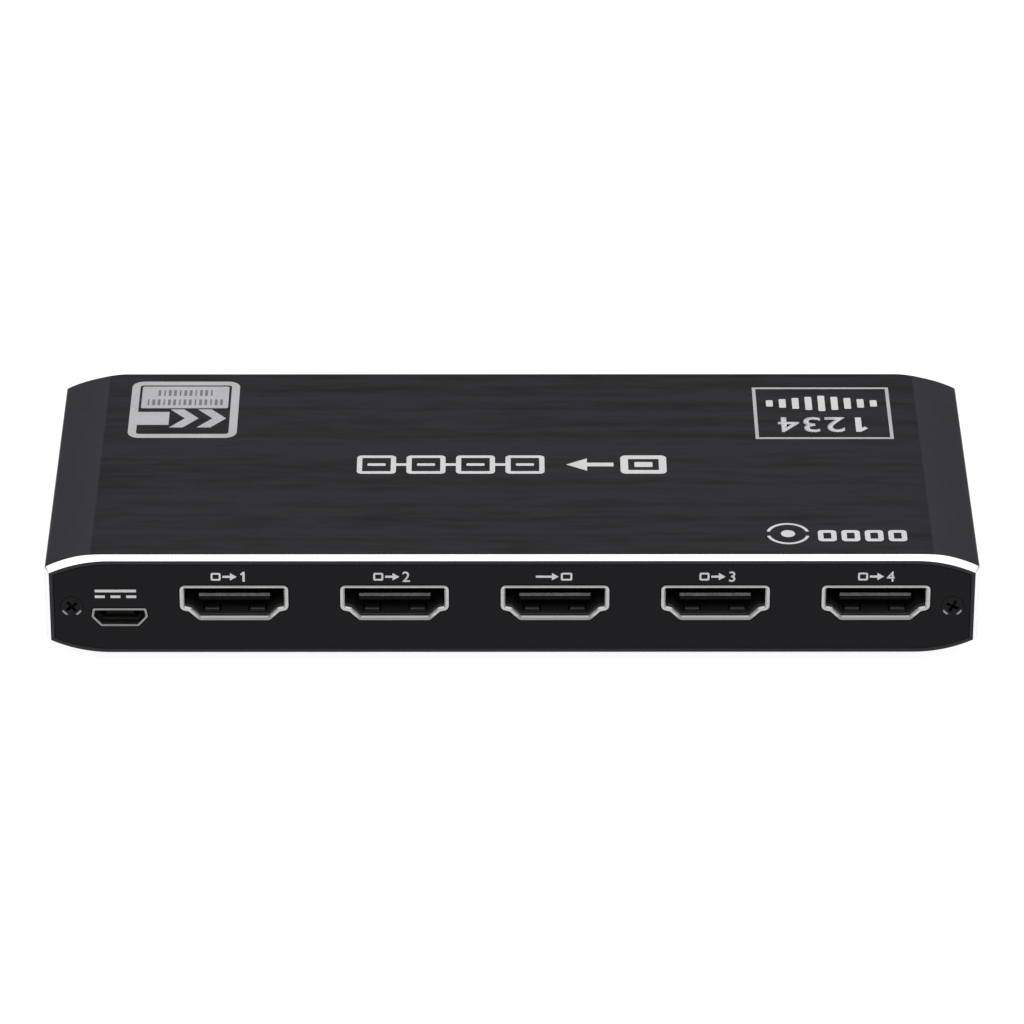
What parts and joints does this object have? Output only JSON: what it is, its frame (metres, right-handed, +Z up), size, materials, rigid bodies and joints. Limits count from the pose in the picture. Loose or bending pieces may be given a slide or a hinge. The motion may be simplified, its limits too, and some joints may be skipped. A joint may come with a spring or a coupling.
{
  "type": "hdmi splitter",
  "caption": "Slim brushed aluminium signal splitter box with a row of wide AV sockets and a small power socket on one long side, and lamps on the other.",
  "frame": {"origin": "on the floor under the middle of the case, at the underside of its feet", "axes": "+X along the row of sockets, to the right when facing them; -Y out of the sockets; +Z up"},
  "size_m": [0.131, 0.056, 0.017],
  "materials": {
    "anodised_case": "black anodised, brushed along the length, with a bright cut edge round each mouth",
    "anodised_plate": "black anodised, satin",
    "black_screw": "blackened steel",
    "foot_rubber": "matt",
    "circuit_board": "green solder mask with copper tracks under it",
    "socket_steel": "nickel plated, satin",
    "black_moulding": "moulded black",
    "gold_contact": "gold flashed",
    "chip_moulding": "moulded black, fine matt",
    "tinned_lead": "tinned",
    "grey_thermal_pad": "soft, dull",
    "sink_aluminium": "plain extruded",
    "grey_ferrite": "fired, matt",
    "can_aluminium": "bright can with a dark printed sector",
    "can_steel": "nickel plated can",
    "ceramic_brown": "fired ceramic with tinned ends",
    "resistor_black": "glazed black with tinned ends",
    "lamp_white": "white moulding",
    "clear_guide": "clear acrylic"
  },
  "bodies": {
    "root": {"case_tube": "anodised_case", "socket_plate": "anodised_plate", "indicator_plate": "anodised_plate", "socket_plate_screws": "black_screw", "indicator_plate_screws": "black_screw", "rubber_feet": "foot_rubber", "main_board": "circuit_board", "power_socket_shell": "socket_steel", "power_socket_insulator": "black_moulding", "power_socket_contacts": "gold_contact", "splitter_chip_body": "chip_moulding", "splitter_chip_leads": "tinned_lead", "thermal_pad": "grey_thermal_pad", "heat_sink": "sink_aluminium", "control_chip_body": "chip_moulding", "control_chip_leads": "tinned_lead", "regulator_body": "chip_moulding", "regulator_leads": "tinned_lead", "inductor_shield": "grey_ferrite", "inductor_core": "grey_ferrite", "bulk_capacitor_cans": "can_aluminium", "bulk_capacitor_bases": "black_moulding", "clock_crystal": "can_steel", "ceramic_capacitors": "ceramic_brown", "chip_resistors": "resistor_black", "surge_arrays": "chip_moulding", "status_lights": "lamp_white", "light_guide": "clear_guide", "out_1_socket_shell": "socket_steel", "out_1_socket_insulator": "black_moulding", "out_1_socket_contacts": "gold_contact", "out_2_socket_shell": "socket_steel", "out_2_socket_insulator": "black_moulding", "out_2_socket_contacts": "gold_contact", "input_socket_shell": "socket_steel", "input_socket_insulator": "black_moulding", "input_socket_contacts": "gold_contact", "out_3_socket_shell": "socket_steel", "out_3_socket_insulator": "black_moulding", "out_3_socket_contacts": "gold_contact", "out_4_socket_shell": "socket_steel", "out_4_socket_insulator": "black_moulding", "out_4_socket_contacts": "gold_contact"}
  },
  "joints": []
}
